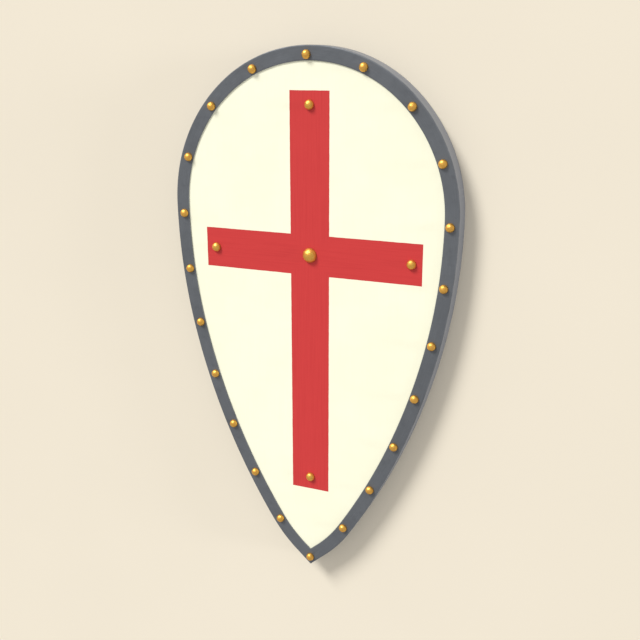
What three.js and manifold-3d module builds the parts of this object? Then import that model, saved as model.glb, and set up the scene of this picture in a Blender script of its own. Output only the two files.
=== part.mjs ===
// A kite shield that lies face up on the back edge of its iron rim. Millimetres.
// +X is to the right of the painted face, +Y runs to the round top and +Z out of the face.
// The origin is on the ground, under the middle of the shield.
import * as THREE from 'three';
import { mergeVertices } from 'three/addons/utils/BufferGeometryUtils.js';
import Module from 'manifold-3d';

const wasm = await Module();
wasm.setup();

const degrees = Math.PI / 180;

// The rim's inner edge, half of it, from the middle of the round top down to the point:
// two arcs of the crown, two of the long flank, one of the nose and a straight run to the middle
const outlineArcs = [
  { radius: 265.2, turn: 41.8 * degrees, steps: 7 },
  { radius: 291.6, turn: 48.2 * degrees, steps: 9 },
  { radius: 1133, turn: 13.3 * degrees, steps: 5 },
  { radius: 1344, turn: 19.5 * degrees, steps: 7 },
  { radius: 278, turn: 15.6 * degrees, steps: 4 },
];

// Rim: iron sheet of L section, a flat band on the face and a side that runs back from it
const rimWidth = 28.3;
const rimDepth = 40;
const rimGauge = 2;

// Board: glued up from upright planks, let into the rim
const boardThickness = 10;
const fitGap = 0.3;

// The painted cross, which its five rivets follow
const crossBelowCrown = 89.1;
const crossArm = 234;
const crossTop = 230.4;
const crossBottom = -604.1;
const rivetFromArmEnd = 22;
const rivetFromTopEnd = 26.5;
const rivetFromBottomEnd = 28;

// Rivet row on the rim: one at the top, one in the middle of the point and ten on each side
const rivetsPerSide = 10;
const rivetPitch = 118.4;
const rivetLead = 5;
const rivetLine = 11.3;

// Rivets: radii of head, shank and tail, with the heights of the dome and of the peened button
const rimRivetSize = { head: 9, dome: 8.4, shank: 2.6, tail: 5, button: 2.2, sides: 10 };
const crossRivetSize = { head: 9.9, dome: 9, shank: 2.6, tail: 5, button: 2.2, sides: 10 };
const centreRivetSize = { head: 15, dome: 12, shank: 4, tail: 7.5, button: 2.6, sides: 16 };
const domeSteps = 3;
const buttonTop = 0.75;
const buttonShoulder = 0.4;

// Straps: flat leather bands that arch behind the board, with a nailed tab at both ends
const strapGauge = 3;
const strapGroundGap = 2;
const strapRise = 0.3;
const strapRiseSteps = 8;
const armStrap = { x: 95, width: 50, span: 170, tab: 34 };
const handStrap = { x: -105, width: 36, span: 120, tab: 30 };

// Nails: low round heads on the strap tabs, and points that stop inside the board
const nail = { head: 5, dome: 1.8, shank: 1.5, length: 7.5, sides: 8 };
const nailShoulder = { reach: 0.6, height: 0.8 };
const nailFromTabEdge = 9;
const cutPast = 1;

const boardFront = rimDepth - rimGauge - fitGap;
const boardBack = boardFront - boardThickness;

const cream = new THREE.Color('#f7f2d6');
const iron = new THREE.Color('#5c6264');
const brass = new THREE.Color('#c99a3c');
const leather = new THREE.Color('#6b4427');
const darkIron = new THREE.Color('#3d3f41');

// The height of the crown above the widest place, which is where the outline starts
const [topArc, shoulderArc] = outlineArcs;
const shoulderExcess = shoulderArc.radius - topArc.radius;
const crownHeight = topArc.radius + shoulderExcess * Math.cos(topArc.turn);

function halfOutline(offset) {
  const points = [new THREE.Vector2(0, crownHeight + offset)];
  let heading = 0;
  for (const arc of outlineArcs) {
    const radius = arc.radius + offset;
    const start = points[points.length - 1];
    const centreX = start.x - radius * Math.sin(heading);
    const centreY = start.y - radius * Math.cos(heading);
    for (let step = 1; step <= arc.steps; step += 1) {
      const angle = heading + (arc.turn * step) / arc.steps;
      const x = centreX + radius * Math.sin(angle);
      const y = centreY + radius * Math.cos(angle);
      points.push(new THREE.Vector2(x, y));
    }
    heading += arc.turn;
  }
  const last = points[points.length - 1];
  points.push(new THREE.Vector2(0, last.y + last.x * Math.tan(heading)));
  return points;
}

// The outline is measured from its widest place, and this brings that to its height in the part
const outerHalf = halfOutline(rimWidth);
const topY = outerHalf[0].y;
const pointY = outerHalf[outerHalf.length - 1].y;
const crownY = -(topY + pointY) / 2;

function outline(offset) {
  const right = halfOutline(offset);
  const left = right.slice(1, -1).reverse().map((p) => new THREE.Vector2(-p.x, p.y));
  const points = right.concat(left).map((p) => new THREE.Vector2(p.x, p.y + crownY));
  return new THREE.Shape(points);
}

function toSolid(geometry) {
  geometry.deleteAttribute('normal');
  geometry.deleteAttribute('uv');
  const merged = mergeVertices(geometry, 1e-4);
  const mesh = new wasm.Mesh({
    numProp: 3,
    vertProperties: new Float32Array(merged.attributes.position.array),
    triVerts: new Uint32Array(merged.index.array),
  });
  return new wasm.Manifold(mesh);
}

function toGeometry(solid) {
  const mesh = solid.getMesh();
  const geometry = new THREE.BufferGeometry();
  geometry.setAttribute('position', new THREE.BufferAttribute(mesh.vertProperties, 3));
  geometry.setIndex(new THREE.BufferAttribute(mesh.triVerts, 1));
  return geometry;
}

function plate(offset, low, high) {
  const options = { depth: high - low, bevelEnabled: false };
  return new THREE.ExtrudeGeometry(outline(offset), options).translate(0, 0, low);
}

// Holes are cut for shanks that stand at the same turn, so both have the same flats
function shankHole(place, radius, sides, low, high) {
  const length = high - low;
  const hole = new THREE.CylinderGeometry(radius, radius, length, sides).rotateX(Math.PI / 2);
  hole.translate(place.x, place.y, low + length / 2);
  return toSolid(hole);
}

function makeMesh(name, geometry, color, roughness, metalness) {
  const material = new THREE.MeshStandardMaterial({ color, roughness, metalness });
  const mesh = new THREE.Mesh(geometry, material);
  mesh.name = name;
  return mesh;
}

// Rivet places, going round from the top to the left as the face is seen
function pointAlong(points, distance) {
  let left = distance;
  for (let i = 1; i < points.length; i += 1) {
    const length = points[i].distanceTo(points[i - 1]);
    if (left <= length) {
      return points[i - 1].clone().lerp(points[i], left / length);
    }
    left -= length;
  }
  return points[points.length - 1].clone();
}

function rimRivetPlaces() {
  const line = halfOutline(rivetLine);
  const places = [];
  for (let i = 0; i <= rivetsPerSide; i += 1) {
    const place = pointAlong(line, rivetLead + i * rivetPitch);
    places.push(new THREE.Vector2(-place.x, place.y));
  }
  places.push(halfOutline(rimWidth / 2).pop());
  for (let i = rivetsPerSide; i >= 1; i -= 1) {
    places.push(pointAlong(line, i * rivetPitch - rivetLead));
  }
  return places.map((place) => new THREE.Vector2(place.x, place.y + crownY));
}

const crossY = crownY - crossBelowCrown;
const rimRivets = rimRivetPlaces();
const crossRivets = {
  top: new THREE.Vector2(0, crownY + crossTop - rivetFromTopEnd),
  bottom: new THREE.Vector2(0, crownY + crossBottom + rivetFromBottomEnd),
  left: new THREE.Vector2(-(crossArm - rivetFromArmEnd), crossY),
  right: new THREE.Vector2(crossArm - rivetFromArmEnd, crossY),
};
const centrePlace = new THREE.Vector2(0, crossY);

// A domed head on the front, a shank through the hole and a peened button on the back
function rivetGeometry(size, seat, back) {
  const domeRadius = (size.head ** 2 + size.dome ** 2) / (2 * size.dome);
  const domeReach = Math.asin(size.head / domeRadius);
  const profile = [new THREE.Vector2(0, back - size.button)];
  profile.push(new THREE.Vector2(size.tail * buttonTop, back - size.button));
  profile.push(new THREE.Vector2(size.tail, back - size.button * buttonShoulder));
  profile.push(new THREE.Vector2(size.tail, back));
  profile.push(new THREE.Vector2(size.shank, back));
  profile.push(new THREE.Vector2(size.shank, seat));
  for (let step = 0; step < domeSteps; step += 1) {
    const angle = domeReach * (1 - step / domeSteps);
    const height = seat + size.dome - domeRadius * (1 - Math.cos(angle));
    profile.push(new THREE.Vector2(domeRadius * Math.sin(angle), height));
  }
  profile.push(new THREE.Vector2(0, seat + size.dome));
  return new THREE.LatheGeometry(profile, size.sides).rotateX(Math.PI / 2);
}

function makeRivet(name, place, size, seat) {
  const geometry = rivetGeometry(size, seat + fitGap, boardBack - fitGap);
  const rivet = makeMesh(name, geometry, brass, 0.35, 0.9);
  rivet.position.set(place.x, place.y, 0);
  return rivet;
}

function cutShanks(solid, places, size, low, high) {
  let cut = solid;
  for (const place of places) {
    cut = cut.subtract(shankHole(place, size.shank + fitGap, size.sides, low, high));
  }
  return cut;
}

function makeRim() {
  const bandBack = rimDepth - rimGauge;
  let rim = toSolid(plate(rimWidth, 0, rimDepth));
  rim = rim.subtract(toSolid(plate(rimWidth - rimGauge, -cutPast, bandBack)));
  rim = rim.subtract(toSolid(plate(0, bandBack - cutPast, rimDepth + cutPast)));
  rim = cutShanks(rim, rimRivets, rimRivetSize, bandBack - cutPast, rimDepth + cutPast);
  return makeMesh('rim', toGeometry(rim), iron, 0.5, 0.8);
}

function nailPlaces(strap) {
  const places = [];
  for (const side of [1, -1]) {
    for (const end of [1, -1]) {
      const x = strap.x + side * (strap.width / 2 - nailFromTabEdge);
      const y = crossY + end * (strap.span + strap.tab) / 2;
      places.push(new THREE.Vector2(x, y));
    }
  }
  return places;
}

function makeBoard() {
  const low = boardBack - cutPast;
  const high = boardFront + cutPast;
  const nailEnd = boardBack + nail.length + fitGap;
  let board = toSolid(plate(rimWidth - rimGauge - fitGap, boardBack, boardFront));
  board = cutShanks(board, rimRivets, rimRivetSize, low, high);
  board = cutShanks(board, Object.values(crossRivets), crossRivetSize, low, high);
  board = cutShanks(board, [centrePlace], centreRivetSize, low, high);
  for (const strap of [armStrap, handStrap]) {
    board = cutShanks(board, nailPlaces(strap), nail, low, nailEnd);
  }
  return makeMesh('board', toGeometry(board), cream, 0.7, 0);
}

// The middle line of a strap from the side, along Y and Z: tab, rise, flat crest, rise and tab
function strapLine(strap) {
  const tabZ = boardBack - fitGap - strapGauge / 2;
  const drop = tabZ - strapGauge / 2 - strapGroundGap;
  const half = strap.span / 2;
  const rise = strap.span * strapRise;
  const line = [new THREE.Vector2(-half - strap.tab, tabZ)];
  for (let step = 0; step <= strapRiseSteps; step += 1) {
    const along = step / strapRiseSteps;
    const depth = drop * THREE.MathUtils.smoothstep(along, 0, 1);
    line.push(new THREE.Vector2(-half + rise * along, tabZ - depth));
  }
  const back = line.map((p) => new THREE.Vector2(-p.x, p.y));
  return line.concat(back.reverse());
}

function bandShape(line, gauge) {
  const above = [];
  const below = [];
  line.forEach((point, i) => {
    const before = line[Math.max(i - 1, 0)];
    const after = line[Math.min(i + 1, line.length - 1)];
    const along = after.clone().sub(before).normalize();
    const across = new THREE.Vector2(-along.y, along.x).multiplyScalar(gauge / 2);
    above.push(point.clone().add(across));
    below.push(point.clone().sub(across));
  });
  return new THREE.Shape(below.concat(above.reverse()));
}

function makeStrap(name, strap) {
  const options = { depth: strap.width, bevelEnabled: false };
  const band = new THREE.ExtrudeGeometry(bandShape(strapLine(strap), strapGauge), options);
  band.translate(0, 0, -strap.width / 2).rotateX(Math.PI / 2).rotateZ(Math.PI / 2);
  band.translate(strap.x, crossY, 0);
  const solid = cutShanks(toSolid(band), nailPlaces(strap), nail, 0, boardBack);
  return makeMesh(name, toGeometry(solid), leather, 0.75, 0);
}

function makeNail(name, place) {
  const seat = boardBack - strapGauge - 2 * fitGap;
  const point = boardBack + nail.length;
  const profile = [new THREE.Vector2(0, seat - nail.dome)];
  const shoulder = seat - nail.dome * nailShoulder.height;
  profile.push(new THREE.Vector2(nail.head * nailShoulder.reach, shoulder));
  profile.push(new THREE.Vector2(nail.head, seat));
  profile.push(new THREE.Vector2(nail.shank, seat));
  profile.push(new THREE.Vector2(nail.shank, point));
  profile.push(new THREE.Vector2(0, point));
  const geometry = new THREE.LatheGeometry(profile, nail.sides).rotateX(Math.PI / 2);
  const mesh = makeMesh(name, geometry, darkIron, 0.6, 0.7);
  mesh.position.set(place.x, place.y, 0);
  return mesh;
}

const shield = new THREE.Group();
shield.add(makeBoard());
shield.add(makeRim());
rimRivets.forEach((place, i) => {
  const number = String(i + 1).padStart(2, '0');
  shield.add(makeRivet(`rim_rivet_${number}`, place, rimRivetSize, rimDepth));
});
for (const [end, place] of Object.entries(crossRivets)) {
  shield.add(makeRivet(`cross_rivet_${end}`, place, crossRivetSize, boardFront));
}
shield.add(makeRivet('cross_rivet_centre', centrePlace, centreRivetSize, boardFront));
for (const [name, strap] of Object.entries({ arm_strap: armStrap, hand_strap: handStrap })) {
  shield.add(makeStrap(name, strap));
  nailPlaces(strap).forEach((place, i) => shield.add(makeNail(`${name}_nail_${i + 1}`, place)));
}

export default shield;
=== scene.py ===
import math
import random

import bpy
from mathutils import Matrix, Vector


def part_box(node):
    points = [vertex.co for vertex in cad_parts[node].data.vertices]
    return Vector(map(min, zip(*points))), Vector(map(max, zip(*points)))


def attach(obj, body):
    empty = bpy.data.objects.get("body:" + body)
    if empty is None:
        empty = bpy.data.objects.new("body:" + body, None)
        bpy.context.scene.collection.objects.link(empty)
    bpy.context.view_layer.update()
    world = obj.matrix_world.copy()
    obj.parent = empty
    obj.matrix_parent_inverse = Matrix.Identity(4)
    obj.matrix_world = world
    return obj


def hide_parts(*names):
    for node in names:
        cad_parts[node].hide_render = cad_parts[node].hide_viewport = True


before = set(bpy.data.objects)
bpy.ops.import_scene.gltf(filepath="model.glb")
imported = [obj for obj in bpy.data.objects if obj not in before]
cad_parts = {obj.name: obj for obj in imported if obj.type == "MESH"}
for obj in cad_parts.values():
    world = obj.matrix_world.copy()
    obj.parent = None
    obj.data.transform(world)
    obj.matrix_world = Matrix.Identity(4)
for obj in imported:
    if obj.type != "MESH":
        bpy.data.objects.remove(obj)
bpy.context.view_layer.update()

BODY = "root"
UP = Vector((0, 0, 1))

# How near two places count as the same: for cuts, for joining, and for picking rows and corners
FINE = 0.000002
RIVET_JOIN = 0.000005
SAME_ROW = 0.00001
SWEEP_JOIN = 0.00002
MIRROR_JOIN = 0.00006
SAME_CORNER = 0.0002

# The rim: an iron strip of L section, a flat band on the face and a side that runs back
RIM_WIDTH = 0.0283
RIM_GAUGE = 0.002
BEND_RADIUS = 0.0024
INNER_BEND_RADIUS = 0.0008
EDGE_RADIUS = 0.0005
BAND_LOOPS = 9
SIDE_LOOPS = 12
SHORTEST_FLAT = 0.015
HAMMER_DEPTH = 0.0002
HAMMER_SPACING = 0.022

# The rim's inner edge down the right half: two arcs of the crown, two of the flank and the nose
OUTLINE = (
    {"radius": 0.2652, "turn": math.radians(41.8), "steps": 51},
    {"radius": 0.2916, "turn": math.radians(48.2), "steps": 61},
    {"radius": 1.133, "turn": math.radians(13.3), "steps": 60},
    {"radius": 1.344, "turn": math.radians(19.5), "steps": 104},
    {"radius": 0.278, "turn": math.radians(15.6), "steps": 18},
)
SHOULDER_EXCESS = OUTLINE[1]["radius"] - OUTLINE[0]["radius"]
CROWN_HEIGHT = OUTLINE[0]["radius"] + SHOULDER_EXCESS * math.cos(OUTLINE[0]["turn"])

# The straight run from the nose's arc to the point, carried past the middle before it is cut
RUN_STEPS = 16
RUN_PAST = 0.004

# The board: upright planks, let into the rim with a little room
BOARD_ROOM = 0.0023
BOARD_LIP = 0.004
BOARD_EDGE_RADIUS = 0.001
PLANK_WIDTH = 0.094
PLANK_JOINTS = range(-2, 3)
JOINT_WIDTH = 0.0012
JOINT_DEPTH = 0.0011
PAINT_DEPTH = 0.0015

# The painted cross, measured from the shield's widest place
CROSS_BELOW_WIDEST = 0.0891
CROSS_HALF_UPRIGHT = 0.0417
CROSS_HALF_ARM = 0.041
CROSS_ARM = 0.234
CROSS_TOP = 0.2304
CROSS_BOTTOM = 0.6041

# Rivets: head radius and height, shank radius, tail radius and height
RIM_RIVET = {"head": 0.0088, "dome": 0.0088, "shank": 0.0026, "tail": 0.005, "button": 0.0022}
CROSS_RIVET = {"head": 0.0097, "dome": 0.0092, "shank": 0.0026, "tail": 0.005, "button": 0.0022}
CENTRE_RIVET = {"head": 0.015, "dome": 0.0122, "shank": 0.004, "tail": 0.0075, "button": 0.0026}
RIVET_SIDES = 28
DOME_RINGS = 7
HEAD_RIM = 0.0009
RIVET_DENT = 0.0003
RIVET_DENT_SPACING = 0.004
# How far up a head the painted shade at its foot reaches
FOOT_SHADE_HEIGHT = 2.2 * HEAD_RIM

# The peened button behind the board: a low wall, a slope and a crown, as shares of its size
BUTTON_WALL = 0.4
BUTTON_SLOPE = {"in": 0.22, "out": 0.4}
BUTTON_CROWN = {"in": 0.4, "out": 0.2}

# Straps: leather bands that arch behind the board
STRAP_GAUGE = 0.003
STRAP_TAB = {"arm_strap": 0.034, "hand_strap": 0.03}
STRAP_TAB_STEPS = 4
STRAP_RISE = 0.3
STRAP_RISE_STEPS = 10
STRAP_CREST_STEPS = 8
STRAP_ROWS = 10
STRAP_CORNER = 0.0034
STRAP_EDGE_RADIUS = 0.0009
START_SLIVER = 0.0001

# Nails with low heads, hammered from eight sides
NAIL_HEAD = 0.005
NAIL_FACETS = 8
NAIL_WALL = 0.0005
NAIL_SLOPE = 0.0009
NAIL_CROWN = 0.0003
NAIL_LENGTH = 0.009
NAIL_ROOM = 0.0005
NAIL_EDGE_RADIUS = 0.0003

# The photograph's view of the face
CAMERA_PLACE = Vector((0.6955, 0.5290, 1.6217))
CAMERA_AIM = Vector((0.0231, 0.0173, 0.04))
CAMERA_LENS = 49.7
CAMERA_SENSOR = 36
CAMERA_NEAREST = 0.05

# Light that comes low from the upper left, and a lower one on the right for the rim's side
KEY_FROM = Vector((-0.48, 0.80, 0.57))
KEY_STRENGTH = 3.20
KEY_SPREAD = math.radians(20)
KEY_COLOUR = (1.0, 0.985, 0.955)
FILL_FROM = Vector((3.0, 0.2, 0.21))
FILL_STRENGTH = 1.85
FILL_SPREAD = math.radians(14)
FILL_COLOUR = (0.965, 0.98, 1.0)
SKY_COLOUR = (1.0, 0.985, 0.965)
SKY_STRENGTH = 0.62
FLOOR_SIZE = 24
FLOOR_DROP = 0.0004

rim_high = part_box("rim")[1]
board_low, board_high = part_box("board")
inner_top = rim_high.y - RIM_WIDTH
widest_y = inner_top - CROWN_HEIGHT
cross_y = widest_y - CROSS_BELOW_WIDEST


def outward(heading):
    """The way out of the shield at a heading, which is 0 at the top and grows to the right."""
    return Vector((math.sin(heading), math.cos(heading), 0))


def outline_arcs():
    """Gives each arc its centre and first heading. Returns the last heading and the end too."""
    arcs = []
    heading = 0.0
    place = Vector((0, inner_top, 0))
    for arc in OUTLINE:
        centre = place - arc["radius"] * outward(heading)
        arcs.append({**arc, "centre": centre, "from": heading})
        heading += arc["turn"]
        place = centre + arc["radius"] * outward(heading)
    return arcs, heading, place


ARCS, LAST_HEADING, NOSE_END = outline_arcs()
RUN_WAY = Vector((math.cos(LAST_HEADING), -math.sin(LAST_HEADING), 0))


def along_and_out(point):
    """How far a point lies along the rim from the top, and how far outside the inner edge."""
    right = Vector((abs(point.x), point.y, 0))
    run = (right - NOSE_END).dot(RUN_WAY)
    length = 0.0
    for arc in ARCS:
        spoke = right - arc["centre"]
        turned = math.atan2(spoke.x, spoke.y) - arc["from"]
        if turned <= arc["turn"] or arc is ARCS[-1] and run < 0:
            along = length + arc["radius"] * turned
            return math.copysign(along, point.x), spoke.length - arc["radius"]
        length += arc["radius"] * arc["turn"]
    return math.copysign(length + run, point.x), (right - NOSE_END).dot(outward(LAST_HEADING))


# Modelling helpers


def nothing_selected():
    if bpy.context.object and bpy.context.object.mode != "OBJECT":
        bpy.ops.object.mode_set(mode="OBJECT")
    bpy.ops.object.select_all(action="DESELECT")


def select_only(piece):
    nothing_selected()
    piece.select_set(True)
    bpy.context.view_layer.objects.active = piece


def start_piece(add, name, stretch=(1, 1, 1), **settings):
    """Adds a primitive, sizes and names it, and opens it in edit mode with all of it selected."""
    nothing_selected()
    add(**settings)
    piece = bpy.context.object
    piece.name = name
    piece.data.name = name
    piece.scale = stretch
    bpy.ops.object.transform_apply(location=True, rotation=True, scale=True)
    bpy.ops.object.mode_set(mode="EDIT")
    return piece


def pick(piece, kind, test):
    """Selects only the vertices, edges or faces of the piece in edit mode that pass the test."""
    bpy.ops.mesh.select_mode(type=kind)
    bpy.ops.mesh.select_all(action="DESELECT")
    bpy.ops.object.mode_set(mode="OBJECT")
    mesh = piece.data
    items = {"VERT": mesh.vertices, "EDGE": mesh.edges, "FACE": mesh.polygons}[kind]
    for item in items:
        if kind == "VERT":
            corners = [item.co]
        else:
            corners = [mesh.vertices[i].co for i in item.vertices]
        item.select = test(corners)
    bpy.ops.object.mode_set(mode="EDIT")


def extrude(way):
    bpy.ops.mesh.extrude_region_move(TRANSFORM_OT_translate={"value": way})


def face_outwards():
    bpy.ops.mesh.select_all(action="SELECT")
    bpy.ops.mesh.normals_make_consistent(inside=False)


def use_modifier(piece, kind, **settings):
    """Adds a modifier, sets it and applies it."""
    select_only(piece)
    modifier = piece.modifiers.new(kind.lower(), kind)
    for key, value in settings.items():
        setattr(modifier, key, value)
    bpy.ops.object.modifier_apply(modifier=modifier.name)


def mirror_left(piece):
    """Adds the left half and closes the seam down the middle."""
    use_modifier(piece, "MIRROR", use_clip=True, use_mirror_merge=True, merge_threshold=MIRROR_JOIN)
    bpy.ops.object.mode_set(mode="EDIT")
    bpy.ops.mesh.select_all(action="SELECT")
    bpy.ops.mesh.remove_doubles(threshold=MIRROR_JOIN)
    bpy.ops.mesh.dissolve_degenerate(threshold=SAME_ROW)
    face_outwards()
    bpy.ops.object.mode_set(mode="OBJECT")


def smooth(piece, degrees):
    select_only(piece)
    bpy.ops.object.shade_smooth_by_angle(angle=math.radians(degrees))


def dent(piece, depth, spacing):
    """Hammer marks: soft hollows and rises all over the piece."""
    marks = bpy.data.textures.new(f"{piece.name}_marks", "CLOUDS")
    marks.noise_scale = spacing
    marks.noise_depth = 1
    use_modifier(
        piece, "DISPLACE", texture=marks, texture_coords="LOCAL", strength=depth, mid_level=0.5,
    )


def copy_to(model, name, place, turn):
    """A copy with its own mesh, turned about Z and set down at its place."""
    select_only(model)
    bpy.ops.object.duplicate()
    piece = bpy.context.object
    piece.name = name
    piece.data.name = name
    piece.location = place
    piece.rotation_euler.z = turn
    bpy.ops.object.transform_apply(location=True, rotation=True, scale=True)
    return piece


def hand_over(piece, node, material):
    """The finished piece takes its material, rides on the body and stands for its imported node."""
    piece.data.materials.clear()
    piece.data.materials.append(material)
    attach(piece, BODY)
    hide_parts(node)


# Material helpers


def new_finish(name, **sockets):
    """A material with the plain values of its shader set. Returns it, its tree and its shader."""
    material = bpy.data.materials.new(name)
    material.use_nodes = True
    tree = material.node_tree
    shader = tree.nodes["Principled BSDF"]
    for socket, value in sockets.items():
        shader.inputs[socket.replace("_", " ")].default_value = value
    return material, tree, shader


def wire(tree, value, socket):
    """Links an output to a socket, or sets a plain value on it."""
    if isinstance(value, bpy.types.NodeSocket):
        tree.links.new(value, socket)
    else:
        socket.default_value = value


def object_place(tree):
    return tree.nodes.new("ShaderNodeTexCoord").outputs["Object"]


def surface_place(tree, layer):
    uv = tree.nodes.new("ShaderNodeUVMap")
    uv.uv_map = layer
    return uv.outputs["UV"]


def mark(tree, attribute):
    node = tree.nodes.new("ShaderNodeAttribute")
    node.attribute_name = attribute
    return node.outputs["Fac"]


def stretched(tree, place, scale):
    node = tree.nodes.new("ShaderNodeMapping")
    wire(tree, place, node.inputs["Vector"])
    node.inputs["Scale"].default_value = scale
    return node.outputs["Vector"]


def parts_of(tree, place):
    node = tree.nodes.new("ShaderNodeSeparateXYZ")
    wire(tree, place, node.inputs["Vector"])
    return node.outputs["X"], node.outputs["Y"], node.outputs["Z"]


def joined(tree, x, y, z):
    node = tree.nodes.new("ShaderNodeCombineXYZ")
    for value, socket in zip((x, y, z), node.inputs):
        wire(tree, value, socket)
    return node.outputs["Vector"]


def noise(tree, place, scale=1.0, detail=2.0, roughness=0.5):
    node = tree.nodes.new("ShaderNodeTexNoise")
    wire(tree, place, node.inputs["Vector"])
    node.inputs["Scale"].default_value = scale
    node.inputs["Detail"].default_value = detail
    node.inputs["Roughness"].default_value = roughness
    return node.outputs["Fac"]


def cells(tree, place, scale, feature="F1"):
    node = tree.nodes.new("ShaderNodeTexVoronoi")
    node.feature = feature
    wire(tree, place, node.inputs["Vector"])
    node.inputs["Scale"].default_value = scale
    return node.outputs["Distance"]


def maths(tree, operation, first, second=0.0):
    node = tree.nodes.new("ShaderNodeMath")
    node.operation = operation
    wire(tree, first, node.inputs[0])
    wire(tree, second, node.inputs[1])
    return node.outputs[0]


def times(tree, first, second):
    return maths(tree, "MULTIPLY", first, second)


def plus(tree, first, second):
    return maths(tree, "ADD", first, second)


def minus(tree, first, second):
    return maths(tree, "SUBTRACT", first, second)


def spread(tree, value, low, high, to_low=0.0, to_high=1.0):
    """Carries a value from one range to another, eased and kept inside it."""
    node = tree.nodes.new("ShaderNodeMapRange")
    node.interpolation_type = "SMOOTHSTEP"
    wire(tree, value, node.inputs["Value"])
    node.inputs["From Min"].default_value = low
    node.inputs["From Max"].default_value = high
    node.inputs["To Min"].default_value = to_low
    node.inputs["To Max"].default_value = to_high
    return node.outputs["Result"]


def mixed(tree, share, first, second):
    """Two colours mixed by a share from 0 to 1."""
    node = tree.nodes.new("ShaderNodeMix")
    node.data_type = "RGBA"
    wire(tree, share, node.inputs["Factor"])
    for value, socket in ((first, node.inputs[6]), (second, node.inputs[7])):
        wire(tree, value if isinstance(value, bpy.types.NodeSocket) else (*value, 1), socket)
    return node.outputs[2]


def relief(tree, height, depth, under=None):
    """A bump as deep as the depth, on top of another where one is given."""
    node = tree.nodes.new("ShaderNodeBump")
    node.inputs["Strength"].default_value = 1.0
    node.inputs["Distance"].default_value = depth
    wire(tree, height, node.inputs["Height"])
    if under is not None:
        wire(tree, under, node.inputs["Normal"])
    return node.outputs["Normal"]


# Finishes

CREAM = (0.882, 0.880, 0.706)
CREAM_SHADE = (0.858, 0.850, 0.662)
RED = (0.556, 0.038, 0.038)
RED_SHADE = (0.485, 0.027, 0.029)
IRON = (0.131, 0.142, 0.158)
IRON_SHADE = (0.092, 0.100, 0.113)
# Paler iron: the colour of worn edges and brushed streaks, and of the painted light on the rim's
# side
IRON_WORN_AND_PAINTED_LIGHT = (0.285, 0.300, 0.342)
BRASS = (0.825, 0.456, 0.096)
BRASS_SHADE = (0.520, 0.300, 0.070)
# Dark brown of the painted shade at a rivet's foot
BRASS_FOOT_SHADE = (0.120, 0.075, 0.030)
OAK = (0.300, 0.165, 0.075)
OAK_DARK = (0.165, 0.082, 0.034)
OAK_PALE = (0.400, 0.240, 0.120)
LEATHER = (0.135, 0.052, 0.019)
LEATHER_DARK = (0.052, 0.020, 0.008)
NAIL_IRON = (0.060, 0.060, 0.062)
NAIL_SHADE = (0.030, 0.029, 0.030)
FLOOR = (0.752, 0.692, 0.580)
FLOOR_SHADE = tuple(0.985 * value for value in FLOOR)

# Painted edges: how far the brush wavers, how soft it leaves the edge, and the darker line inside
PAINT_WAVER = 0.00018
PAINT_SOFT = 0.0002
PAINT_LINE = (-0.0022, -0.0004)
ARM_CROSSING = 0.002

# How far from an edge or a bend of the rim the wear reaches, and where it is full
BEND_WEAR = (0.0024, 0.0002)
EDGE_WEAR = (0.0012, 0.0002)
# Over how far the rim's side fades into its painted light: the whole side is painted lighter, as if
# lit
PAINTED_LIGHT_FADE = 0.0015

# Shares of a strap's half width: the two sides of its crease, and the burnished edge
CREASE_INNER = (0.76, 0.80)
CREASE_OUTER = (0.86, 0.82)
BURNISHED = (0.93, 1.0)


def bar_edge(tree, x, y, middle, half_width, half_height):
    """How far outside a painted bar a point lies. Inside it is below zero."""
    side = minus(tree, maths(tree, "ABSOLUTE", x), half_width)
    shift = minus(tree, y, middle)
    end = minus(tree, maths(tree, "ABSOLUTE", shift), half_height)
    return maths(tree, "MAXIMUM", side, end)


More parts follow.
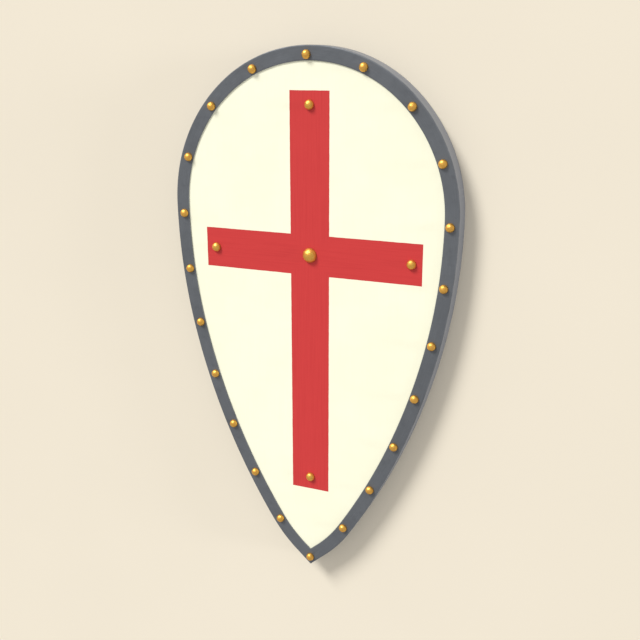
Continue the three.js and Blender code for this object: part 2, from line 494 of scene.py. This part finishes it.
def painted_face():
    """Cream ground brushed up the board, with the red cross brushed along its bars."""
    material, tree, shader = new_finish("painted face", Specular_IOR_Level=0.3)
    place = object_place(tree)
    x, y, _ = parts_of(tree, place)
    upright_middle = widest_y + (CROSS_TOP - CROSS_BOTTOM) / 2
    upright_half = (CROSS_TOP + CROSS_BOTTOM) / 2
    upright = bar_edge(tree, x, y, upright_middle, CROSS_HALF_UPRIGHT, upright_half)
    arms = bar_edge(tree, x, y, cross_y, CROSS_ARM, CROSS_HALF_ARM)
    wavers = noise(tree, place, scale=70, detail=3)
    waver = spread(tree, wavers, 0.25, 0.75, -PAINT_WAVER, PAINT_WAVER)
    edge = plus(tree, maths(tree, "MINIMUM", upright, arms), waver)
    in_cross = spread(tree, edge, PAINT_SOFT, -PAINT_SOFT)
    off_cross = minus(tree, 1.0, in_cross)

    brush_up = noise(tree, stretched(tree, place, (330, 7, 1)), detail=4, roughness=0.6)
    brush_across = noise(tree, stretched(tree, place, (7, 330, 1)), detail=4, roughness=0.6)
    patches = noise(tree, place, scale=9, detail=3)
    cream = mixed(tree, spread(tree, patches, 0.35, 0.7, 0, 0.55), CREAM, CREAM_SHADE)
    cream = mixed(tree, spread(tree, brush_up, 0.4, 0.8, 0, 0.45), cream, CREAM_SHADE)
    on_arms = spread(tree, minus(tree, upright, arms), -ARM_CROSSING, ARM_CROSSING)
    strokes_across = times(tree, brush_across, on_arms)
    strokes_up = times(tree, brush_up, minus(tree, 1.0, on_arms))
    brush_red = plus(tree, strokes_across, strokes_up)
    red = mixed(tree, spread(tree, brush_red, 0.4, 0.75, 0, 0.5), RED, RED_SHADE)
    red = mixed(tree, spread(tree, edge, *PAINT_LINE, 0, 0.3), red, RED_SHADE)
    wire(tree, mixed(tree, in_cross, cream, red), shader.inputs["Base Color"])

    gloss = spread(tree, brush_up, 0.3, 0.7, 0.60, 0.70)
    wire(tree, minus(tree, gloss, times(tree, in_cross, 0.06)), shader.inputs["Roughness"])
    on_cream = times(tree, brush_up, off_cross)
    on_red = times(tree, brush_red, in_cross)
    ground = relief(tree, noise(tree, place, scale=14), depth=0.0012)
    strokes = relief(tree, plus(tree, on_cream, on_red), depth=0.00012, under=ground)
    wire(tree, strokes, shader.inputs["Normal"])
    return material


def oiled_planks():
    """Bare oiled wood: long grain, pores, and each plank in a tone of its own."""
    material, tree, shader = new_finish("oiled planks", Specular_IOR_Level=0.4)
    place = object_place(tree)
    x, y, z = parts_of(tree, place)
    from_left = plus(tree, x, 10.5 * PLANK_WIDTH)
    plank = maths(tree, "FLOOR", maths(tree, "DIVIDE", from_left, PLANK_WIDTH))
    shifted = joined(tree, x, plus(tree, y, times(tree, plank, 3.7)), z)
    waver = noise(tree, stretched(tree, shifted, (6, 2.5, 6)))
    wide = plus(tree, x, times(tree, waver, 0.05))
    rings = joined(tree, wide, times(tree, y, 0.05), times(tree, plank, 1.3))
    grain = noise(tree, rings, scale=95, detail=4, roughness=0.65)
    pores = noise(tree, stretched(tree, shifted, (900, 26, 900)))
    tone = noise(tree, joined(tree, plank, plank, plank), scale=5.3, detail=0)
    wood = mixed(tree, spread(tree, grain, 0.35, 0.68), OAK, OAK_DARK)
    wood = mixed(tree, spread(tree, tone, 0.3, 0.7, 0.0, 0.55), wood, OAK_PALE)
    wood = mixed(tree, spread(tree, pores, 0.56, 0.75, 0, 0.6), wood, OAK_DARK)
    wire(tree, wood, shader.inputs["Base Color"])
    wire(tree, spread(tree, grain, 0.3, 0.7, 0.48, 0.66), shader.inputs["Roughness"])
    plane_marks = noise(tree, stretched(tree, place, (40, 9, 1)))
    under = relief(tree, plane_marks, depth=0.0006)
    under = relief(tree, grain, depth=0.00025, under=under)
    wire(tree, relief(tree, pores, depth=0.0002, under=under), shader.inputs["Normal"])
    return material


def forged_iron():
    """Dark satin iron, wire brushed along the rim, a little brighter on its worn edges. The rim's
    whole side is painted lighter, as painted light.
    """
    material, tree, shader = new_finish("forged iron", Metallic=0.42, Specular_IOR_Level=0.4)
    place = object_place(tree)
    run = surface_place(tree, "run")
    _, out, _ = parts_of(tree, run)
    scale_spots = noise(tree, place, scale=60, detail=4, roughness=0.6)
    clouds = noise(tree, place, scale=11)
    brushed = noise(tree, stretched(tree, run, (22, 1500, 1)), detail=3)
    iron = mixed(tree, spread(tree, clouds, 0.3, 0.7, 0.0, 0.5), IRON, IRON_SHADE)
    iron = mixed(tree, spread(tree, scale_spots, 0.5, 0.75, 0, 0.45), iron, IRON_SHADE)
    iron = mixed(tree, spread(tree, brushed, 0.52, 0.8, 0, 0.25), iron, IRON_WORN_AND_PAINTED_LIGHT)
    from_bend = maths(tree, "ABSOLUTE", minus(tree, out, RIM_WIDTH))
    near_bend = spread(tree, from_bend, *BEND_WEAR)
    near_edge = spread(tree, out, *EDGE_WEAR)
    rubbed = spread(tree, noise(tree, place, scale=42, detail=4, roughness=0.6), 0.36, 0.68)
    worn = times(tree, maths(tree, "MAXIMUM", near_bend, near_edge), rubbed)
    # Painted light: the rim's side is painted paler and bluer, as if it caught light from the right
    painted_light_on_side = spread(tree, out, RIM_WIDTH, RIM_WIDTH + PAINTED_LIGHT_FADE, 0, 0.72)
    iron = mixed(tree, painted_light_on_side, iron, IRON_WORN_AND_PAINTED_LIGHT)
    iron = mixed(tree, times(tree, worn, 0.32), iron, IRON_WORN_AND_PAINTED_LIGHT)
    wire(tree, iron, shader.inputs["Base Color"])
    dull = spread(tree, clouds, 0.3, 0.7, 0.46, 0.58)
    wire(tree, minus(tree, dull, times(tree, worn, 0.1)), shader.inputs["Roughness"])
    under = relief(tree, noise(tree, place, scale=38), depth=0.0009)
    under = relief(tree, scale_spots, depth=0.0003, under=under)
    wire(tree, relief(tree, brushed, depth=0.00006, under=under), shader.inputs["Normal"])
    return material


def hammered_brass():
    """Satin brass with small planished facets, and painted shade where a head meets its seat."""
    material, tree, shader = new_finish("hammered brass", Metallic=1.0)
    place = object_place(tree)
    tarnish = noise(tree, place, scale=240, detail=3)
    foot = mark(tree, "foot")
    brass = mixed(tree, spread(tree, tarnish, 0.42, 0.75, 0, 0.45), BRASS, BRASS_SHADE)
    # Painted shade: each head darkens towards its foot, where it meets its seat
    brass = mixed(tree, times(tree, foot, 0.6), brass, BRASS_FOOT_SHADE)
    wire(tree, brass, shader.inputs["Base Color"])
    satin = spread(tree, tarnish, 0.3, 0.7, 0.38, 0.52)
    wire(tree, plus(tree, satin, times(tree, foot, 0.3)), shader.inputs["Roughness"])
    facets = relief(tree, cells(tree, place, scale=420), depth=0.00035)
    specks = noise(tree, place, scale=1500)
    wire(tree, relief(tree, specks, depth=0.00003, under=facets), shader.inputs["Normal"])
    return material


def strap_leather():
    """Brown tanned leather with a fine grain, creased and burnished dark along its edges."""
    material, tree, shader = new_finish("strap leather", Specular_IOR_Level=0.4)
    place = object_place(tree)
    edge = mark(tree, "edge")
    pebbles = cells(tree, place, scale=620, feature="SMOOTH_F1")
    wrinkles = noise(tree, stretched(tree, place, (60, 200, 200)), detail=3)
    patches = noise(tree, place, scale=34, detail=4, roughness=0.6)
    crease = times(tree, spread(tree, edge, *CREASE_INNER), spread(tree, edge, *CREASE_OUTER))
    hide = mixed(tree, spread(tree, patches, 0.35, 0.7, 0, 0.7), LEATHER, LEATHER_DARK)
    hide = mixed(tree, spread(tree, pebbles, 0.3, 0.75, 0, 0.45), hide, LEATHER_DARK)
    hide = mixed(tree, times(tree, crease, 0.8), hide, LEATHER_DARK)
    hide = mixed(tree, spread(tree, edge, *BURNISHED, 0, 0.9), hide, LEATHER_DARK)
    wire(tree, hide, shader.inputs["Base Color"])
    wire(tree, spread(tree, patches, 0.3, 0.7, 0.36, 0.54), shader.inputs["Roughness"])
    under = relief(tree, minus(tree, 1.0, crease), depth=0.0006)
    under = relief(tree, wrinkles, depth=0.0006, under=under)
    wire(tree, relief(tree, pebbles, depth=0.0003, under=under), shader.inputs["Normal"])
    return material


def nail_iron():
    """Dull black iron, as it comes from the smith."""
    material, tree, shader = new_finish("nail iron", Metallic=0.7)
    place = object_place(tree)
    spots = noise(tree, place, scale=500, detail=4, roughness=0.6)
    iron = mixed(tree, spread(tree, spots, 0.35, 0.7), NAIL_IRON, NAIL_SHADE)
    wire(tree, iron, shader.inputs["Base Color"])
    wire(tree, spread(tree, spots, 0.3, 0.7, 0.42, 0.62), shader.inputs["Roughness"])
    wire(tree, relief(tree, spots, depth=0.0003), shader.inputs["Normal"])
    return material


def studio_floor():
    material, tree, shader = new_finish("studio floor", Roughness=0.9, Specular_IOR_Level=0.1)
    tone = spread(tree, noise(tree, object_place(tree), scale=2.0), 0.3, 0.7)
    wire(tree, mixed(tree, tone, FLOOR, FLOOR_SHADE), shader.inputs["Base Color"])
    return material


# Pieces


def sweep_half_outline(out):
    """Carries the selected edges down the right half of the outline to the middle line."""
    for arc in ARCS:
        bpy.ops.mesh.spin(steps=arc["steps"], angle=arc["turn"], center=arc["centre"], axis=UP)
    corner = NOSE_END + out * outward(LAST_HEADING)
    run = corner.x / -RUN_WAY.x
    for _ in range(RUN_STEPS):
        extrude(RUN_WAY * (run + RUN_PAST) / RUN_STEPS)
    bpy.ops.mesh.select_all(action="SELECT")
    bpy.ops.mesh.bisect(plane_co=(0, 0, 0), plane_no=(1, 0, 0), clear_inner=True, threshold=FINE)
    bpy.ops.mesh.remove_doubles(threshold=SWEEP_JOIN)


def round_corner(piece, y, z, radius, segments):
    """Rounds the corner at a place of a section that is drawn in the plane of Y and Z."""
    pick(piece, "VERT", lambda c: max(abs(c[0].y - y), abs(c[0].z - z)) < SAME_CORNER)
    bpy.ops.mesh.bevel(offset=radius, segments=segments, affect="VERTICES")


def start_section(name, middle_y, middle_z, width, height):
    """A rectangle in the plane of Y and Z, as the start of a section to sweep."""
    return start_piece(
        bpy.ops.mesh.primitive_plane_add, name, size=1, rotation=(0, math.pi / 2, 0),
        location=(0, middle_y, middle_z), stretch=(height, width, 1),
    )


def make_rim():
    """The L section is drawn at the top of the crown and swept round the outline."""
    inner_y = inner_top
    outer_y = inner_y + RIM_WIDTH
    wall_y = outer_y - RIM_GAUGE
    top = rim_high.z
    shelf = top - RIM_GAUGE
    rim = start_section("iron_rim", (outer_y + wall_y) / 2, top / 2, RIM_GAUGE, top)
    bpy.ops.mesh.bisect(plane_co=(0, 0, shelf), plane_no=(0, 0, 1))
    pick(rim, "EDGE", lambda c: all(
        abs(p.y - wall_y) < SAME_ROW and p.z > shelf - SAME_ROW for p in c
    ))
    extrude((0, inner_y - wall_y, 0))
    bpy.ops.mesh.select_all(action="SELECT")
    bpy.ops.mesh.dissolve_faces()
    round_corner(rim, outer_y, top, BEND_RADIUS, 5)
    round_corner(rim, wall_y, shelf, INNER_BEND_RADIUS, 2)
    for y, z in ((inner_y, top), (inner_y, shelf), (outer_y, 0), (wall_y, 0)):
        round_corner(rim, y, z, EDGE_RADIUS, 2)
    bpy.ops.mesh.select_all(action="SELECT")
    bpy.ops.mesh.delete(type="ONLY_FACE")
    for loops, way in ((BAND_LOOPS, "y"), (SIDE_LOOPS, "z")):
        pick(rim, "EDGE", lambda c: abs(getattr(c[0], way) - getattr(c[1], way)) > SHORTEST_FLAT)
        bpy.ops.mesh.subdivide(number_cuts=loops)
    bpy.ops.mesh.select_all(action="SELECT")
    sweep_half_outline(RIM_WIDTH)
    mirror_left(rim)
    dent(rim, HAMMER_DEPTH, HAMMER_SPACING)
    layer = rim.data.uv_layers.new(name="run")
    for loop in rim.data.loops:
        point = rim.data.vertices[loop.vertex_index].co
        along, out = along_and_out(point)
        if out > RIM_WIDTH - 1.5 * RIM_GAUGE and point.z < shelf:
            out = RIM_WIDTH + top - point.z
        layer.data[loop.index].uv = (along, out)
    smooth(rim, degrees=40)
    return rim


def make_board():
    """One edge of the board is swept round the outline, then the front and back are filled."""
    outer = RIM_WIDTH - BOARD_ROOM
    outer_y = inner_top + outer
    lip_y = outer_y - BOARD_LIP
    middle_z = (board_low.z + board_high.z) / 2
    thickness = board_high.z - board_low.z
    board = start_section(
        "planked_board", outer_y - BOARD_LIP / 2, middle_z, BOARD_LIP, thickness,
    )
    for z in (board_low.z, board_high.z):
        round_corner(board, outer_y, z, BOARD_EDGE_RADIUS, 3)
    bpy.ops.mesh.select_all(action="SELECT")
    bpy.ops.mesh.delete(type="ONLY_FACE")
    pick(board, "EDGE", lambda c: all(abs(p.y - lip_y) < SAME_ROW for p in c))
    bpy.ops.mesh.delete(type="EDGE")
    bpy.ops.mesh.select_all(action="SELECT")
    sweep_half_outline(outer)
    mirror_left(board)
    bpy.ops.object.mode_set(mode="EDIT")
    lip_end = outer - BOARD_LIP + SAME_CORNER
    for z in (board_low.z, board_high.z):
        pick(board, "EDGE", lambda c: all(
            abs(p.z - z) < FINE and along_and_out(p)[1] < lip_end for p in c
        ))
        bpy.ops.mesh.edge_face_add()
    face_outwards()
    half = JOINT_WIDTH / 2
    for joint in PLANK_JOINTS:
        for shift in (-half, 0, half):
            bpy.ops.mesh.select_all(action="SELECT")
            place = (joint * PLANK_WIDTH + shift, 0, 0)
            bpy.ops.mesh.bisect(plane_co=place, plane_no=(1, 0, 0), threshold=FINE)
    back = board_low.z + SAME_ROW
    for joint in PLANK_JOINTS:
        joint_x = joint * PLANK_WIDTH
        pick(board, "VERT", lambda c: abs(c[0].x - joint_x) < SAME_ROW and c[0].z < back)
        bpy.ops.transform.translate(value=(0, 0, JOINT_DEPTH))
    bpy.ops.object.mode_set(mode="OBJECT")
    smooth(board, degrees=35)
    return board


def make_rivet(name, size, grip):
    """A domed head on its seat at z = 0, a shank and a peened button behind the board."""
    head, dome, tail, button = size["head"], size["dome"], size["tail"], size["button"]
    sphere = (head**2 + dome**2) / (2 * dome)
    reach = math.asin(head / sphere)
    rivet = start_piece(
        bpy.ops.mesh.primitive_circle_add, name,
        vertices=RIVET_SIDES, radius=head, fill_type="NGON",
    )
    extrude((0, 0, HEAD_RIM))
    radius = head
    height = HEAD_RIM
    for ring in range(1, DOME_RINGS):
        angle = reach * (1 - ring / DOME_RINGS)
        new_radius = sphere * math.sin(angle)
        share = (dome - sphere * (1 - math.cos(angle))) / dome
        new_height = HEAD_RIM + (dome - HEAD_RIM) * share
        bpy.ops.mesh.inset(thickness=radius - new_radius, depth=new_height - height)
        radius = new_radius
        height = new_height
    bpy.ops.mesh.merge(type="CENTER")
    bpy.ops.transform.translate(value=(0, 0, dome - height))
    pick(rivet, "FACE", lambda c: len(c) > 4)
    bpy.ops.mesh.inset(thickness=head - size["shank"], depth=0)
    extrude((0, 0, -grip))
    wider = tail / size["shank"]
    extrude((0, 0, 0))
    bpy.ops.transform.resize(value=(wider, wider, 1), center_override=(0, 0, 0))
    extrude((0, 0, -BUTTON_WALL * button))
    for step in (BUTTON_SLOPE, BUTTON_CROWN):
        bpy.ops.mesh.inset(thickness=step["in"] * tail, depth=step["out"] * button)
    bpy.ops.mesh.select_all(action="SELECT")
    bpy.ops.mesh.remove_doubles(threshold=RIVET_JOIN)
    face_outwards()
    bpy.ops.object.mode_set(mode="OBJECT")
    foot = rivet.data.attributes.new("foot", "FLOAT", "POINT")
    for vertex, entry in zip(rivet.data.vertices, foot.data):
        # The foot mark is full at the seat and carries the painted shade there
        entry.value = max(0.0, 1 - abs(vertex.co.z) / FOOT_SHADE_HEIGHT)
    smooth(rivet, degrees=50)
    return rivet


def set_rivets(material):
    """Each rivet is a copy of one of three models, turned and planished in its own way."""
    draw = random.Random(7)
    through_rim = rim_high.z - board_low.z
    through_board = board_high.z - board_low.z
    models = {
        "rim_rivet": make_rivet("rim_rivet_model", RIM_RIVET, through_rim),
        "cross_rivet": make_rivet("cross_rivet_model", CROSS_RIVET, through_board),
        "centre": make_rivet("centre_rivet_model", CENTRE_RIVET, through_board),
    }
    for node in sorted(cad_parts):
        if "rivet" not in node:
            continue
        low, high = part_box(node)
        middle = (low + high) / 2
        kind = "centre" if node.endswith("centre") else node[: node.index("rivet") + len("rivet")]
        seat = rim_high.z if node.startswith("rim") else board_high.z
        turn = draw.uniform(0, math.tau)
        rivet = copy_to(models[kind], f"brass_{node}", (middle.x, middle.y, seat), turn)
        dent(rivet, RIVET_DENT, RIVET_DENT_SPACING)
        smooth(rivet, degrees=50)
        hand_over(rivet, node, material)
    for model in models.values():
        bpy.data.objects.remove(model)


def strap_line(node):
    """Steps of a strap's middle line from one end to the other, along Y and Z."""
    low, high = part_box(node)
    tab = STRAP_TAB[node]
    span = high.y - low.y - 2 * tab
    tab_z = high.z - STRAP_GAUGE / 2
    drop = high.z - low.z - STRAP_GAUGE
    rise = span * STRAP_RISE
    line = [Vector((0, low.y + tab * i / STRAP_TAB_STEPS, tab_z)) for i in range(STRAP_TAB_STEPS)]
    for step in range(STRAP_RISE_STEPS + 1):
        share = step / STRAP_RISE_STEPS
        eased = share * share * (3 - 2 * share)
        line.append(Vector((0, low.y + tab + rise * share, tab_z - drop * eased)))
    middle = (low.y + high.y) / 2
    crest = line[-1]
    flat = [
        Vector((0, crest.y + (middle - crest.y) * 2 * i / STRAP_CREST_STEPS, crest.z))
        for i in range(1, STRAP_CREST_STEPS)
    ]
    back = [Vector((0, 2 * middle - p.y, p.z)) for p in reversed(line)]
    return line + flat + back


def make_strap(node):
    """A flat ribbon run along the strap's line, with rounded ends, then given its gauge."""
    low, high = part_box(node)
    width = high.x - low.x
    middle_x = (low.x + high.x) / 2
    line = strap_line(node)
    strap = start_piece(
        bpy.ops.mesh.primitive_grid_add, f"leather_{node}",
        x_subdivisions=STRAP_ROWS, y_subdivisions=1, size=1,
        location=(middle_x, line[0].y, line[0].z), stretch=(width, START_SLIVER, 1),
    )
    pick(strap, "VERT", lambda c: c[0].y > line[0].y)
    bpy.ops.mesh.delete(type="VERT")
    bpy.ops.mesh.select_all(action="SELECT")
    bpy.ops.transform.translate(value=(0, START_SLIVER / 2, 0))
    for before, after in zip(line, line[1:]):
        extrude(after - before)

    def at_corner(corners):
        at_side = min(abs(corners[0].x - side) for side in (low.x, high.x)) < SAME_CORNER
        at_end = min(abs(corners[0].y - end) for end in (low.y, high.y)) < SAME_CORNER
        return at_side and at_end

    pick(strap, "VERT", at_corner)
    bpy.ops.mesh.bevel(offset=STRAP_CORNER, segments=5, affect="VERTICES")
    use_modifier(strap, "SOLIDIFY", thickness=STRAP_GAUGE, offset=0, use_even_offset=True)
    use_modifier(
        strap, "BEVEL", width=STRAP_EDGE_RADIUS, segments=3,
        limit_method="ANGLE", angle_limit=math.radians(50),
    )
    edge = strap.data.attributes.new("edge", "FLOAT", "POINT")
    for vertex, entry in zip(strap.data.vertices, edge.data):
        entry.value = abs(vertex.co.x - middle_x) / (width / 2)
    smooth(strap, degrees=45)
    return strap


def make_nail():
    """A forged nail, head down: a low head of hammered facets, its seat at z = 0, and a shank."""
    nail = start_piece(
        bpy.ops.mesh.primitive_circle_add, "nail_model",
        vertices=NAIL_FACETS, radius=NAIL_HEAD, fill_type="NGON",
    )
    extrude((0, 0, NAIL_WALL))
    bpy.ops.mesh.inset(thickness=0.45 * NAIL_HEAD, depth=NAIL_SLOPE)
    bpy.ops.mesh.inset(thickness=0.3 * NAIL_HEAD, depth=NAIL_CROWN)
    pick(nail, "FACE", lambda c: all(p.z < FINE for p in c))
    bpy.ops.mesh.inset(thickness=0.7 * NAIL_HEAD, depth=0)
    extrude((0, 0, -NAIL_LENGTH))
    face_outwards()
    bpy.ops.object.mode_set(mode="OBJECT")
    nail.rotation_euler.x = math.pi
    bpy.ops.object.transform_apply(location=True, rotation=True, scale=True)
    use_modifier(
        nail, "BEVEL", width=NAIL_EDGE_RADIUS, segments=2,
        limit_method="ANGLE", angle_limit=math.radians(15),
    )
    return nail


def set_nails(material):
    """Each nail is a turned copy of one model, its head on the leather."""
    draw = random.Random(11)
    model = make_nail()
    seat = board_low.z - STRAP_GAUGE - NAIL_ROOM
    for node in sorted(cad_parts):
        if "_nail_" not in node:
            continue
        low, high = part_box(node)
        middle = (low + high) / 2
        turn = draw.uniform(0, math.tau)
        nail = copy_to(model, f"forged_{node}", (middle.x, middle.y, seat), turn)
        smooth(nail, degrees=20)
        hand_over(nail, node, material)
    bpy.data.objects.remove(model)


# Studio


def add_lamp(name, comes_from, strength, spread_angle, colour):
    """A broad, even lamp that shines from one side over everything."""
    lamp = bpy.data.lights.new(name, "SUN")
    lamp.energy = strength
    lamp.angle = spread_angle
    lamp.color = colour
    lamp_object = bpy.data.objects.new(name, lamp)
    lamp_object.rotation_mode = "QUATERNION"
    lamp_object.rotation_quaternion = comes_from.to_track_quat("Z", "Y")
    bpy.context.collection.objects.link(lamp_object)
    return lamp_object


def make_studio():
    nothing_selected()
    bpy.ops.mesh.primitive_plane_add(size=FLOOR_SIZE, location=(0, 0, -FLOOR_DROP))
    floor = bpy.context.object
    floor.name = "studio_floor"
    floor.data.materials.append(studio_floor())

    add_lamp("key", KEY_FROM, KEY_STRENGTH, KEY_SPREAD, KEY_COLOUR)
    fill = add_lamp("fill", FILL_FROM, FILL_STRENGTH, FILL_SPREAD, FILL_COLOUR)
    fill.visible_glossy = False

    world = bpy.data.worlds.new("studio")
    world.use_nodes = True
    background = world.node_tree.nodes["Background"]
    background.inputs["Color"].default_value = (*SKY_COLOUR, 1)
    background.inputs["Strength"].default_value = SKY_STRENGTH
    bpy.context.scene.world = world
    bpy.context.scene.view_settings.view_transform = "Standard"


def make_camera():
    camera = bpy.data.cameras.new("camera")
    camera.lens = CAMERA_LENS
    camera.sensor_width = CAMERA_SENSOR
    camera.clip_start = CAMERA_NEAREST
    camera_object = bpy.data.objects.new("camera", camera)
    forward = (CAMERA_AIM - CAMERA_PLACE).normalized()
    right = forward.cross(Vector((0, 1, 0))).normalized()
    turned = Matrix((right, right.cross(forward), -forward)).transposed()
    camera_object.matrix_world = Matrix.Translation(CAMERA_PLACE) @ turned.to_4x4()
    bpy.context.collection.objects.link(camera_object)
    bpy.context.scene.camera = camera_object


make_camera()
make_studio()

hand_over(make_rim(), "rim", forged_iron())

board_piece = make_board()
hand_over(board_piece, "board", painted_face())
board_piece.data.materials.append(oiled_planks())
for face in board_piece.data.polygons:
    if face.center.z < board_high.z - PAINT_DEPTH:
        face.material_index = 1

set_rivets(hammered_brass())

leather = strap_leather()
for strap_node in STRAP_TAB:
    hand_over(make_strap(strap_node), strap_node, leather)

set_nails(nail_iron())

nothing_selected()
